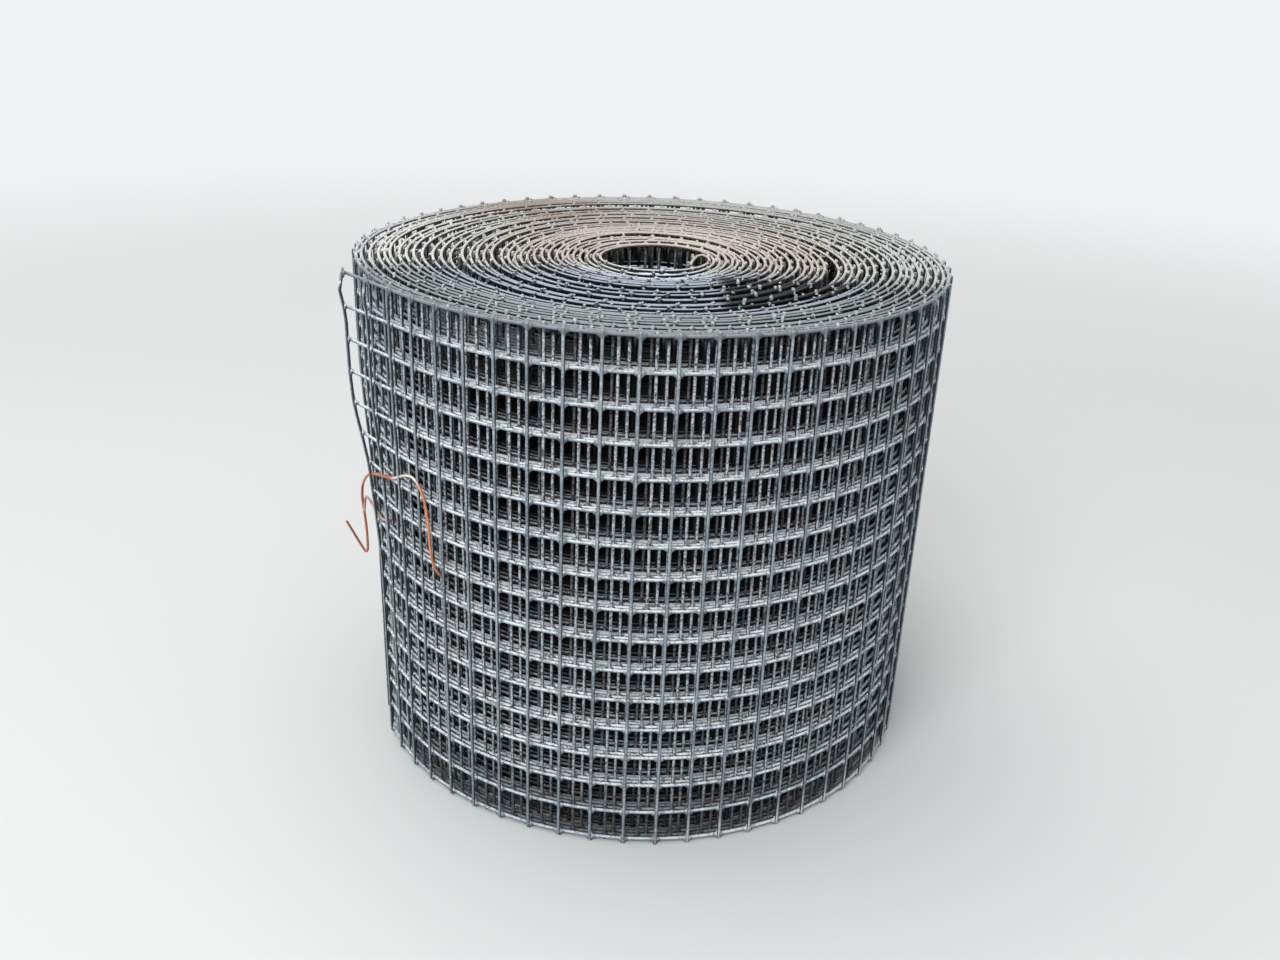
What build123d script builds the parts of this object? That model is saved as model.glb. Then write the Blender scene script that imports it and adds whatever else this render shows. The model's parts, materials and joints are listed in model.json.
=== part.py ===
from build123d import *
import math
import os

# A roll of welded bird mesh standing on its end.
# The origin is on the axis of the bore, at the lower end. +Z is up, and the side that
# the tie wire can be seen on faces -Y and -X.

# The web, in millimetres
CELL = 12.7                  # centre to centre of the wires, the same both ways
CELLS_ACROSS = 16            # cells across the width of the web
WIRE_DIAMETER = 1.3          # steel wire with its coating
WELD_SINK = 0.25             # how far a cross wire is pressed into a line wire
STUB = 1.9                   # cross wire left past the middle of the edge wire
WEB_LENGTH = 15240.0         # length of mesh wound into the roll

# The winding
TURN_SPACING = 2.85          # mean distance from one turn to the next
BORE_DIAMETER = 42.0
BORE_SHIFT = 11.0            # the bore lies this far in front of the middle of the outside

# The turns on both ends
TURNS_IN_RIDGE = 3           # turns that lie against each other and read as one ridge
GROOVE_WIDTH = 1.1           # dark gap between two ridges
GROOVE_DEPTH = 3.6
LOOSE_GAP_WIDTH = 2.6        # the same gap where the winding is slack
LOOSE_AFTER_TURNS = (3, 21, 24)

# The free corner at the outer end of the web, seen from above, degrees from -Y towards -X
CORNER_START_ANGLE = 46.0    # where its upper edge leaves the roll
CORNER_END_ANGLE = 63.6      # where the web is cut off
CORNER_CELLS = 6             # cells down from the top that stand away
CORNER_STANDS_OFF = 7.0      # how far the cut edge is from the roll at the top

# The tie wire
TIE_CELL = 9.2               # height of its middle on the roll, in cells above the lowest line wire
TIE_DIAMETER = 1.05
TIE_BEND_RADIUS = 1.1        # of its tightest bends, on the middle of the wire
TIE_CLEARANCE = 0.65         # air between the wire and the roll
TIE_TAIL_STANDS_OFF = 10.4   # how much further out than that the end of its tail is

# Worked out from the above
height = CELL * CELLS_ACROSS + 2 * STUB
web_thickness = 2 * WIRE_DIAMETER - WELD_SINK
bore_radius = BORE_DIAMETER / 2
outer_radius = math.sqrt(bore_radius**2 + WEB_LENGTH * TURN_SPACING / math.pi)
turns = (outer_radius - bore_radius) / TURN_SPACING
roll_centre = Vector(0, BORE_SHIFT, 0)


def on_roll(angle, stand_off, z):
    """A point beside the outer face: angle from -Y towards -X, distance out from the face, height."""
    reach = outer_radius + stand_off
    turned = math.radians(angle)
    return roll_centre + Vector(-reach * math.sin(turned), -reach * math.cos(turned), z)


def turn_centre(radius):
    """The turns are circles whose middles move from the bore's axis to the middle of the outside."""
    share = (radius - bore_radius) / (outer_radius - bore_radius)
    return roll_centre * share


def end_groove(turn):
    """The ring-shaped V between two ridges, as a cutter for the lower and the upper end."""
    radius = bore_radius + turn * TURN_SPACING
    width = LOOSE_GAP_WIDTH if turn in LOOSE_AFTER_TURNS else GROOVE_WIDTH
    # The V is drawn a little past the end face, with its sides at the same slope
    past = 0.5
    half = width / 2 * (1 + past / GROOVE_DEPTH)
    profile = Plane.XZ * Polyline(
        (radius - half, -past), (radius + half, -past), (radius, GROOVE_DEPTH), close=True
    )
    lower = revolve(make_face(profile), Axis.Z)
    upper = mirror(lower, about=Plane.XY.offset(height / 2))
    return [Location(turn_centre(radius)) * lower, Location(turn_centre(radius)) * upper]


def make_free_corner():
    """The upper corner of the web's outer end, which springs away from the roll as a flat flap."""
    leaves = on_roll(CORNER_START_ANGLE, 0, height)
    tip = on_roll(CORNER_END_ANGLE, CORNER_STANDS_OFF, height)
    foot = on_roll(CORNER_END_ANGLE, 0, height - STUB - CORNER_CELLS * CELL)
    flap = make_face(Polyline(leaves, tip, foot, close=True))
    middle_angle = (CORNER_START_ANGLE + CORNER_END_ANGLE) / 2
    inward = (on_roll(middle_angle, -1, 0) - on_roll(middle_angle, 0, 0)).normalized()
    return extrude(flap, amount=web_thickness, dir=inward)


def make_mesh_roll():
    """The wound web as one turned solid, with its bore, its turns on both ends and its free corner."""
    solid = Location(roll_centre) * extrude(Circle(outer_radius), height)
    solid -= extrude(Circle(bore_radius), height)
    grooves = []
    turn = TURNS_IN_RIDGE
    while turn <= turns - TURNS_IN_RIDGE:
        grooves += end_groove(turn)
        turn += TURNS_IN_RIDGE
    solid -= grooves
    return solid + make_free_corner()


def bent_wire(corners, radius):
    """A round wire along straight runs, with a tangent arc of the given radius at every corner."""
    path = FilletPolyline(*corners, radius=radius)
    section = Plane(origin=path @ 0, z_dir=path % 0) * Circle(TIE_DIAMETER / 2)
    return sweep(section, path=path)


def make_tie_wire():
    """Copper wire laced round the cut edge of the web: a long run with a bent tail, and a short leg."""
    close = TIE_CLEARANCE + TIE_DIAMETER / 2
    middle = STUB + TIE_CELL * CELL
    loop_side = on_roll(75.8, close + 3.4, middle - 1.35 * CELL)
    run = [
        on_roll(38.9, close, middle - 1.5 * CELL),
        on_roll(41.5, close, middle - 0.9 * CELL),
        on_roll(42.3, close, middle + 0.8 * CELL),
        on_roll(45.4, close, middle + 1.5 * CELL),
        on_roll(54.0, close + 0.3, middle + 1.0 * CELL),
        on_roll(64.8, close + 2.3, middle + 0.4 * CELL),
        on_roll(74.8, close + 2.6, middle - 0.6 * CELL),
        loop_side,
        on_roll(74.0, close + 3.2, middle - 3.4 * CELL),
        on_roll(74.7, close + TIE_TAIL_STANDS_OFF, middle - 2.0 * CELL),
    ]
    leg = [
        loop_side,
        on_roll(70.0, close, middle - 1.05 * CELL),
        on_roll(60.0, close + 0.2, middle - 0.85 * CELL),
        on_roll(56.8, close, middle - 0.6 * CELL),
    ]
    return bent_wire(run, TIE_BEND_RADIUS) + bent_wire(leg, TIE_BEND_RADIUS)


def main():
    os.makedirs("parts", exist_ok=True)
    export_step(make_mesh_roll(), "parts/mesh_roll.step")
    export_step(make_tie_wire(), "parts/tie_wire.step")
    print(f"outside diameter {2 * outer_radius:.1f} mm, height {height:.1f} mm, turns {turns:.1f}")


main()
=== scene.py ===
# %% [markdown]
# # A roll of bird mesh
# The object is one long web of welded wire mesh, coated black, that is wound into a short roll and
# stands on its end. This lesson builds it as what it is: wires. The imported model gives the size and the
# place of the roll, and stays untouched underneath as the frame.

# %% Load the frame
import json
import math
import bpy
import numpy as np
from mathutils import Matrix, Vector


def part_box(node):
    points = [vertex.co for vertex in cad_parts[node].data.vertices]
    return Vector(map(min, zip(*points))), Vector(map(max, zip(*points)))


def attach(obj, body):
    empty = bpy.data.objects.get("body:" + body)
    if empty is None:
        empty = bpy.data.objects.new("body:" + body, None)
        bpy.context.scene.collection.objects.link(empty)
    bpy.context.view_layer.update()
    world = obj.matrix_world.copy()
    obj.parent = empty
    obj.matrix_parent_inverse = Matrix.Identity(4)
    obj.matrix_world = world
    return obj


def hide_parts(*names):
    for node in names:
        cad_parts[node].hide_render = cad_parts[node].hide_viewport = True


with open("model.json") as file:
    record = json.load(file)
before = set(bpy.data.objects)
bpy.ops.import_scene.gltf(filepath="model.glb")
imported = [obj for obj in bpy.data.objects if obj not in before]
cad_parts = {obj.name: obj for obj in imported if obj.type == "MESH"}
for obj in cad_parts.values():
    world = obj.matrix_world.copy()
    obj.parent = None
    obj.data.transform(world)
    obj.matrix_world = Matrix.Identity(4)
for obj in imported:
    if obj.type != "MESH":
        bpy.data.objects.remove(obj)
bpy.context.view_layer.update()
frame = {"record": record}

# %% [markdown]
# ## The sizes
# Everything is worked out from the frame and a few facts about the mesh. The roll is not quite even:
# its bore lies a little in front of the middle of its outside, because the winding is slacker at the
# back. Both middles are read from the frame, so the wires land where the solid is.

# %% Sizes of the web and the roll, in metres
CELL = 0.0127
CELLS_ACROSS = 16
WIRE = 0.0013
WELD_SINK = 0.00025

roll_low, roll_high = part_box("mesh_roll")
height = roll_high.z - roll_low.z
outer_radius = roll_high.x
roll_middle_y = roll_high.y - outer_radius
bore_mount = next(m for m in frame["record"]["mounts"] if m["name"] == "bore")
bore_radius = bore_mount["dims"]["r_mm"] / 1000

wire_radius = WIRE / 2
half_web = (2 * WIRE - WELD_SINK) / 2
wire_offset = half_web - wire_radius
stub = (height - CELLS_ACROSS * CELL) / 2
print(f"outside {2000 * outer_radius:.1f} mm, bore {2000 * bore_radius:.1f} mm, stub {1000 * stub:.2f} mm")

# %% [markdown]
# ## The camera
# It comes first, because every comparison with the photograph needs it. That was taken from
# the front and a little above, by hand, so the camera also leans a little to one side. The lens gives
# the same field of view, and the picture is taken as 1280 by 960.

# %% Camera
PICTURE_WIDTH = 1280
CAMERA_PLACE = Vector((-0.0027, -0.4723, 0.3154))
CAMERA_LOOKS_DOWN = math.radians(23.79)
CAMERA_LEANS = math.radians(2.25)
LENS_IN_PICTURE_WIDTHS = 1182.6 / PICTURE_WIDTH



def add_object(name, data):
    thing = bpy.data.objects.new(name, data)
    bpy.context.scene.collection.objects.link(thing)
    return thing


camera_data = bpy.data.cameras.new("camera")
camera_data.sensor_width = 36.0
camera_data.lens = LENS_IN_PICTURE_WIDTHS * camera_data.sensor_width
camera_data.clip_start = 0.01
camera = add_object("camera", camera_data)
looks = Matrix.Rotation(math.pi / 2 - CAMERA_LOOKS_DOWN, 4, "X")
leans = Matrix.Rotation(CAMERA_LEANS, 4, "Z")
camera.matrix_world = Matrix.Translation(CAMERA_PLACE) @ looks @ leans
bpy.context.scene.camera = camera
print(f"lens {camera_data.lens:.1f} mm")

# %% [markdown]
# ## Light, floor and background
# The mesh is full of holes, and what makes it read as wires is that each wire is light above and dark
# below. So most of the light comes from overhead: a wide lamp, and a sky that is brighter the higher
# it is. The floor is pale for the camera and darker for the light that would bounce up from it. Far
# away it fades into the plain backdrop, so that no horizon shows.

# %% World, lamps and floor
bpy.context.scene.view_settings.view_transform = "Standard"
SKY_LIGHT = 0.72
SKY_LIGHT_FROM_BELOW = 0.32 * SKY_LIGHT
SKY_BRIGHTENS_ABOVE = -0.2
SKY_COLOUR = (0.93, 0.97, 1.0, 1)
BACKDROP = (0.87, 0.88, 0.89, 1)
FLOOR_HALF_WIDTH = 40.0
FLOOR_AS_SEEN = (0.66, 0.66, 0.65, 1)
FLOOR_FOR_OTHER_LIGHT = (0.30, 0.30, 0.30, 1)
FLOOR_FADES_FROM_TO = (0.3, 1.6)


def seen_directly(nodes, links):
    """A socket that is 1 for the camera and for reflections, and 0 for other light."""
    path = nodes.new("ShaderNodeLightPath")
    total = path.outputs["Is Camera Ray"]
    for name in ("Is Glossy Ray", "Is Transmission Ray"):
        either = nodes.new("ShaderNodeMath")
        either.operation = "MAXIMUM"
        links.new(total, either.inputs[0])
        links.new(path.outputs[name], either.inputs[1])
        total = either.outputs[0]
    return total


def make_world():
    world = bpy.data.worlds.new("pale_sky")
    world.use_nodes = True
    nodes, links = world.node_tree.nodes, world.node_tree.links
    nodes.clear()
    direction = nodes.new("ShaderNodeSeparateXYZ")
    links.new(nodes.new("ShaderNodeTexCoord").outputs["Generated"], direction.inputs[0])
    higher = nodes.new("ShaderNodeMapRange")
    links.new(direction.outputs["Z"], higher.inputs["Value"])
    higher.inputs["From Min"].default_value = SKY_BRIGHTENS_ABOVE
    higher.inputs["To Min"].default_value = SKY_LIGHT_FROM_BELOW
    higher.inputs["To Max"].default_value = SKY_LIGHT
    light = nodes.new("ShaderNodeBackground")
    light.inputs["Color"].default_value = SKY_COLOUR
    links.new(higher.outputs[0], light.inputs["Strength"])
    backdrop = nodes.new("ShaderNodeBackground")
    backdrop.inputs["Color"].default_value = BACKDROP
    mix = nodes.new("ShaderNodeMixShader")
    links.new(seen_directly(nodes, links), mix.inputs["Fac"])
    links.new(light.outputs[0], mix.inputs[1])
    links.new(backdrop.outputs[0], mix.inputs[2])
    out = nodes.new("ShaderNodeOutputWorld")
    links.new(mix.outputs[0], out.inputs["Surface"])
    bpy.context.scene.world = world


def add_lamp(name, place, size, watts, colour):
    """A square area lamp that points at the middle of the roll."""
    data = bpy.data.lights.new(name, "AREA")
    data.size = size
    data.energy = watts
    data.color = colour
    lamp = add_object(name, data)
    lamp.location = place
    target = Vector((0, roll_middle_y, height / 2))
    lamp.rotation_mode = "QUATERNION"
    lamp.rotation_quaternion = (target - Vector(place)).to_track_quat("-Z", "Y")


def make_floor():
    corners = [FLOOR_HALF_WIDTH * Vector(way) for way in ((-1, -1, 0), (1, -1, 0), (1, 1, 0), (-1, 1, 0))]
    mesh = bpy.data.meshes.new("floor")
    mesh.from_pydata(corners, [], [(0, 1, 2, 3)])
    floor = add_object("floor", mesh)
    material = bpy.data.materials.new("pale_floor")
    material.use_nodes = True
    nodes, links = material.node_tree.nodes, material.node_tree.links
    shader = nodes["Principled BSDF"]
    shader.inputs["Roughness"].default_value = 0.9
    shader.inputs["Specular IOR Level"].default_value = 0.1
    colour = nodes.new("ShaderNodeMix")
    colour.data_type = "RGBA"
    links.new(seen_directly(nodes, links), colour.inputs["Factor"])
    # Inputs 6 and 7 and output 2 of a mix node are those for colours
    colour.inputs[6].default_value = FLOOR_FOR_OTHER_LIGHT
    colour.inputs[7].default_value = FLOOR_AS_SEEN
    links.new(colour.outputs[2], shader.inputs["Base Color"])
    backdrop = nodes.new("ShaderNodeEmission")
    backdrop.inputs["Color"].default_value = BACKDROP
    away = nodes.new("ShaderNodeVectorMath")
    away.operation = "LENGTH"
    links.new(nodes.new("ShaderNodeTexCoord").outputs["Object"], away.inputs[0])
    fade = nodes.new("ShaderNodeMapRange")
    fade.interpolation_type = "SMOOTHSTEP"
    links.new(away.outputs["Value"], fade.inputs["Value"])
    fade.inputs["From Min"].default_value = FLOOR_FADES_FROM_TO[0]
    fade.inputs["From Max"].default_value = FLOOR_FADES_FROM_TO[1]
    mix = nodes.new("ShaderNodeMixShader")
    links.new(fade.outputs[0], mix.inputs["Fac"])
    links.new(shader.outputs[0], mix.inputs[1])
    links.new(backdrop.outputs[0], mix.inputs[2])
    links.new(mix.outputs[0], nodes["Material Output"].inputs["Surface"])
    mesh.materials.append(material)


make_world()
make_floor()
add_lamp("overhead_lamp", (-0.3, 0.25, 1.5), size=1.2, watts=10.5, colour=(1.0, 0.99, 0.97))
add_lamp("front_lamp", (-0.5, -1.3, 1.2), size=1.0, watts=22.0, colour=(0.955, 0.985, 1.0))

# %% [markdown]
# ## The winding, seen from above
# The web lies on a spiral. One simple formula would give turns that are all the same distance apart,
# and the real roll isn't like that: the turns lie tight in the front and slack at the back, and here
# and there a turn has sprung away from the next and leaves a dark crescent. So the spiral is added up
# turn by turn. Each turn lies at least 2 mm outside the last. The web is 2.35 mm thick, so the tightest
# turns sink into each other by 0.35 mm, where nobody can look. To that comes a gap: the wide ones are a
# given list, and what room is left over is shared out unevenly among all turns.

# %% Radius of the spiral
STEPS_A_TURN = 360
INNER_END_ANGLE = math.radians(280)
OUTER_END_ANGLE = math.radians(63.6)
FULL_TURNS = 34
TIGHT = 0.0020
SLACK_VARIES = 0.75
LEAST_SLACK = 0.05
MOST_ROOM = 0.95

# The outermost turn starts further in than it ends, and its last quarter stands a little proud
OUTSIDE_ADDED = 0.0002
LAST_TURN_STARTS_IN = 0.0014
LAST_QUARTER_PROUD = 0.0010

# turn, gap in mm, how many turns it takes to close again
WIDE_GAPS = (
    (1.22, 1.6, 0.09), (2.22, 1.7, 0.09), (6.75, 1.0, 0.2), (9.22, 2.0, 0.10), (9.70, 0.9, 0.15),
    (11.22, 1.3, 0.10), (12.24, 0.8, 0.10), (13.23, 1.5, 0.10), (14.22, 0.6, 0.10), (15.24, 1.3, 0.10),
    (16.22, 1.3, 0.10), (16.48, 2.0, 0.10), (18.22, 1.5, 0.10), (18.75, 5.0, 0.11), (19.00, 3.4, 0.13),
    (20.22, 1.6, 0.10), (20.55, 2.4, 0.10), (21.42, 1.6, 0.08), (22.23, 2.0, 0.10), (24.9, 1.2, 0.2),
    (25.9, 1.4, 0.15), (27.72, 2.2, 0.12), (28.53, 2.4, 0.12), (30.9, 0.9, 0.3),
)

turns = FULL_TURNS + (OUTER_END_ANGLE + 2 * math.pi - INNER_END_ANGLE) / (2 * math.pi)
rng = np.random.default_rng(7)


def smooth_noise(at, slowest, fastest):
    """A smooth random curve between about -1 and 1, as a sum of sines."""
    waves, usual_peak = 7, 1.6
    pace = rng.uniform(slowest, fastest, waves)
    phase = rng.uniform(0, 2 * math.pi, waves)
    return np.sin(2 * math.pi * np.outer(at, pace) + phase).sum(1) / math.sqrt(waves / 2) / usual_peak


def smooth_step(x):
    x = np.clip(x, 0, 1)
    return x * x * (3 - 2 * x)


def from_roll_middle_to_bore(angle):
    """How far the innermost turn is from the middle of the outside, in the direction of this angle."""
    bore_line = bore_radius + half_web
    return roll_middle_y * np.cos(angle) + np.sqrt(bore_line**2 - (roll_middle_y * np.sin(angle)) ** 2)


turn = np.arange(int(turns * STEPS_A_TURN) + 1) / STEPS_A_TURN
angle = INNER_END_ANGLE + 2 * math.pi * turn
gap = sum(g / 1000 * np.exp(-(((turn - t) / w) ** 2)) for t, g, w in WIDE_GAPS)
slackness = np.clip(1 + SLACK_VARIES * smooth_noise(turn, 0.2, 2.4), LEAST_SLACK, None)
# The first turn follows the bore and the last one the outside, so neither has room to give away
gap *= smooth_step((turn - 1) / 0.1) * smooth_step((turns - 1 - turn) / 0.2)
slackness *= smooth_step((turn - 1) / 0.3) * smooth_step((turns - 1 - turn) / 0.3)
last_turn = np.clip(turn - (turns - 1), 0, 1)
outside = outer_radius - half_web + OUTSIDE_ADDED - LAST_TURN_STARTS_IN * (1 - smooth_step(last_turn / 0.7))
outside += LAST_QUARTER_PROUD * smooth_step((last_turn - 0.75) / 0.25)

radius = from_roll_middle_to_bore(angle) + TIGHT * turn
for direction in range(STEPS_A_TURN):
    here = np.arange(direction, len(turn), STEPS_A_TURN)
    later = here[1:]
    room = outside[here[-1]] - radius[direction] - TIGHT * len(later)
    wide = gap[later]
    wide *= min(1, MOST_ROOM * room / wide.sum())
    left_over = (room - wide.sum()) * slackness[later] / slackness[later].sum()
    radius[later] = radius[direction] + np.cumsum(TIGHT + wide + left_over)
spacing = radius[STEPS_A_TURN:] - radius[:-STEPS_A_TURN]
print(f"{turns:.2f} turns, {1000 * spacing.min():.2f} to {1000 * spacing.max():.2f} mm apart")

# %% [markdown]
# ## The hook at the inner end
# Whoever wound the roll bent the first two cells of the web back on themselves, and this hook shows
# in the bore on the right. Walking inwards along the web, it is a tight bend towards the bore and then a
# straight leg. It is drawn by walking: take a small step, turn a little, take the next step.

# %% The line of the web: hook, then spiral
HOOK_BEND_RADIUS = 0.0021
HOOK_BEND = math.radians(141)
HOOK_LEG = 0.0205
HOOK_LEG_BOW = math.radians(18)
HOOK_STEP = 0.0003

spiral = np.stack([-radius * np.sin(angle), roll_middle_y - radius * np.cos(angle)], 1)


def walk_hook(start, heading):
    places, turned = [start], 0.0
    leg_steps = round(HOOK_LEG / HOOK_STEP)
    bend_steps = round(HOOK_BEND_RADIUS * HOOK_BEND / HOOK_STEP)
    for step in range(bend_steps + leg_steps):
        turned += HOOK_BEND / bend_steps if step < bend_steps else HOOK_LEG_BOW / leg_steps
        way = np.array([math.cos(heading + turned), math.sin(heading + turned)])
        places.append(places[-1] + HOOK_STEP * way)
    return np.array(places[1:])


back_along = spiral[0] - spiral[1]
hook = walk_hook(spiral[0], math.atan2(back_along[1], back_along[0]))
line = np.concatenate([hook[::-1], spiral])
steps = np.linalg.norm(np.diff(line, axis=0), axis=1)
along = np.concatenate([[0], np.cumsum(steps)])
along -= along[len(hook)]
tangent = np.gradient(line, along, axis=0)
tangent /= np.linalg.norm(tangent, axis=1)[:, None]
outward = np.stack([-tangent[:, 1], tangent[:, 0]], 1)
web_end = along[-1]
print(f"web {web_end - along[0]:.3f} m long, hook {-1000 * along[0]:.0f} mm of it")

# %% [markdown]
# ## Where the wires cross
# A cross wire is welded on about every 12.7 mm. They are counted from the outer end, where the web was
# cut just past one. The welder's pitch wanders by a hair, and over the sixty cells of a turn that
# decides where the next turn's cross wires show in the openings, so it is set for the outer turns from
# what shows there.

# %% Places of the cross wires
on_spiral = along[len(hook):]
# Where the cross wires of the next turns in show, in cells to the right of the outermost turn's,
# and the angle round the roll at which they do, a little to the left of the front
SHOWS_AT = (0.0, 0.42, 0.66, 0.90, 0.18, 0.55)
SHOWS_AT_ANGLE = math.radians(8)


def find_crossings():
    """Places of the cross wires, with the pitch stretched so that they show where they should."""
    front_turns = turns - (OUTER_END_ANGLE - SHOWS_AT_ANGLE) / (2 * math.pi) - np.arange(len(SHOWS_AT))
    front_places = np.interp(front_turns, turn, on_spiral)
    count = (web_end - front_places) / CELL
    wander = [0.0]
    for number in range(1, len(SHOWS_AT)):
        wanted = count[0] - SHOWS_AT[number] - count[number]
        wander.append(wanted - round(wanted - wander[-1]))
    print("the count of cells is off by", np.round(wander, 2), "at the front of the outer turns")
    places = np.linspace(along[0], web_end, 40000)
    counted = (web_end - places) / CELL + np.interp(places, front_places[::-1], wander[::-1])
    return np.interp(np.arange(int(counted[0]), -1, -1), counted[::-1], places[::-1])


crossing = find_crossings()
crossing_turn = np.interp(crossing, on_spiral, turn)
row_height = stub + CELL * np.arange(CELLS_ACROSS + 1)
print(len(crossing), "cross wires,", len(row_height), "line wires")

# %% [markdown]
# ## How high each turn sits
# Nobody winds a roll dead level, so each turn sits a touch higher or lower than the next. The steps that
# can be told on the upper end are listed. All of it is one curve of height over turns.

# %% The drift of the turns
DRIFT = 0.00042
drift_curve = DRIFT * smooth_noise(turn, 0.25, 1.3) * smooth_step((turns - 1.2 - turn) / 2)
# Between these turns every second one lies lower in the front, so the turns look paired there
PAIRED_TURNS = (9, 24)
PAIR_STEP = 0.0010
UPPER_ONES_STAY = 0.9
in_pairs = smooth_step((turn - PAIRED_TURNS[0]) / 1.5) * smooth_step((PAIRED_TURNS[1] - turn) / 1.5)
front_of_turn = (2 * math.pi - INNER_END_ANGLE) / (2 * math.pi)
drift_curve += PAIR_STEP / 2 * in_pairs * (np.cos(math.pi * (turn - front_of_turn)) - UPPER_ONES_STAY)
# In front of the bore some turns lie lower than the ones inside them: turn, mm above where it should be
STEPS_AT_BORE = ((1.22, -0.9), (2.22, -1.5), (3.22, -1.5), (4.22, -1.0), (5.22, -0.5))
STEP_SPREAD = 0.15
drift_curve += sum(rise / 1000 * np.exp(-(((turn - t) / STEP_SPREAD) ** 2)) for t, rise in STEPS_AT_BORE)
# At the back the first turns outside these stand higher, and a dark dashed line shows in front of them
HIGHER_AT_BACK_AFTER = (2.22, 6.22, 9.22, 16.22, 20.22, 24.22, 27.22)
HIGHER_BY = 0.0009
HIGHER_FADES_OVER = 1.2
at_back = (1 - np.cos(2 * math.pi * (turn - front_of_turn))) / 2
for after in HIGHER_AT_BACK_AFTER:
    fading = np.where(turn > after, np.exp((after - turn) / HIGHER_FADES_OVER), 0)
    drift_curve += HIGHER_BY * at_back**2 * fading
print(f"turns drift from {1000 * drift_curve.min():.1f} to {1000 * drift_curve.max():.1f} mm")

# %% [markdown]
# ## The bulge and the free corner
# Towards the upper end the outer turns bulge to the left, and the cut end springs away from the roll as a
# flat flap whose edge is highest at its corner. Both are small shifts that are added to a point of the
# web, so every wire follows them and stays welded to its neighbours.

# %% Any point of the web
BULGE = 0.0040
BULGE_ANGLE = math.radians(88)
BULGE_SPREAD = math.radians(30)
BULGE_FROM_RADIUS, BULGE_GROWS_OVER = 0.080, 0.016
BULGE_FROM_HEIGHT, BULGE_RISES_OVER = 0.09, 0.08

FLAP_CELLS = 3.3
FLAP_LIFT = 0.0013
FLAP_LIFT_POWER = 1.5
FLAP_BEND_POWER = 2.2
# cells above the lowest line wire, how far the end of the web stands off there in mm
FLAP_PROFILE = (
    (6.5, 0), (8, 1.1), (9, 1.6), (10, 2.1), (11, 3.7), (12, 5.6), (13, 6.3), (14, 6.5), (15, 6.4),
    (15.4, 8.8), (16, 6.9),
)


def flap_share(place):
    """0 where the flap leaves the roll, and 1 at its edge."""
    return np.clip((place - web_end) / (FLAP_CELLS * CELL) + 1, 0, None)


def drift_at(place):
    return np.interp(place, on_spiral, drift_curve) + FLAP_LIFT * flap_share(place) ** FLAP_LIFT_POWER


def bulge_at(place, z):
    """How far the outer turns are pushed out on the left, near the upper end."""
    round_the_roll = np.interp(place, on_spiral, angle) - BULGE_ANGLE
    aside = np.abs((round_the_roll + math.pi) % (2 * math.pi) - math.pi)
    how_far_out = smooth_step((np.interp(place, on_spiral, radius) - BULGE_FROM_RADIUS) / BULGE_GROWS_OVER)
    how_far_up = smooth_step((z - BULGE_FROM_HEIGHT) / BULGE_RISES_OVER)
    return BULGE * np.exp(-((aside / BULGE_SPREAD) ** 2)) * how_far_out * how_far_up


def flap_at(place, z):
    """How far the web stands off the roll near its outer end, at this height."""
    cells_up, stands_off = np.array(FLAP_PROFILE).T
    return np.interp((z - stub) / CELL, cells_up, stands_off) / 1000 * flap_share(place) ** FLAP_BEND_POWER


def outward_at(place):
    """The level direction straight out of the web at these places along it."""
    x, y = (np.interp(place, along, outward[:, i]) for i in (0, 1))
    return np.stack([x, y, np.zeros_like(x)], -1)


def web_point(place, z, off):
    """A point of the web: place along it, height, and distance outwards from its middle plane."""
    place, z, off = np.broadcast_arrays(place, z, off)
    out = off + flap_at(place, z) + bulge_at(place, z)
    points = out[..., None] * outward_at(place)
    points[..., 0] += np.interp(place, along, line[:, 0])
    points[..., 1] += np.interp(place, along, line[:, 1])
    points[..., 2] = z
    return points


def sideways_from(direction):
    """The level direction at right angles to a level direction."""
    return np.stack([-direction[..., 1], direction[..., 0], direction[..., 2]], -1)


print("free corner at", np.round(1000 * web_point(web_end, height, 0), 1), "mm")

# %% [markdown]
# ## A helper that makes many wires at once
# A wire could be a Blender curve with a bevel, but here are twelve hundred cross wires and a quarter of a
# kilometre of line wire. So the tubes are worked out as arrays: rings of points round each centre line,
# faces between them and a flat face on both ends. Each part of the roll becomes one mesh.

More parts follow.
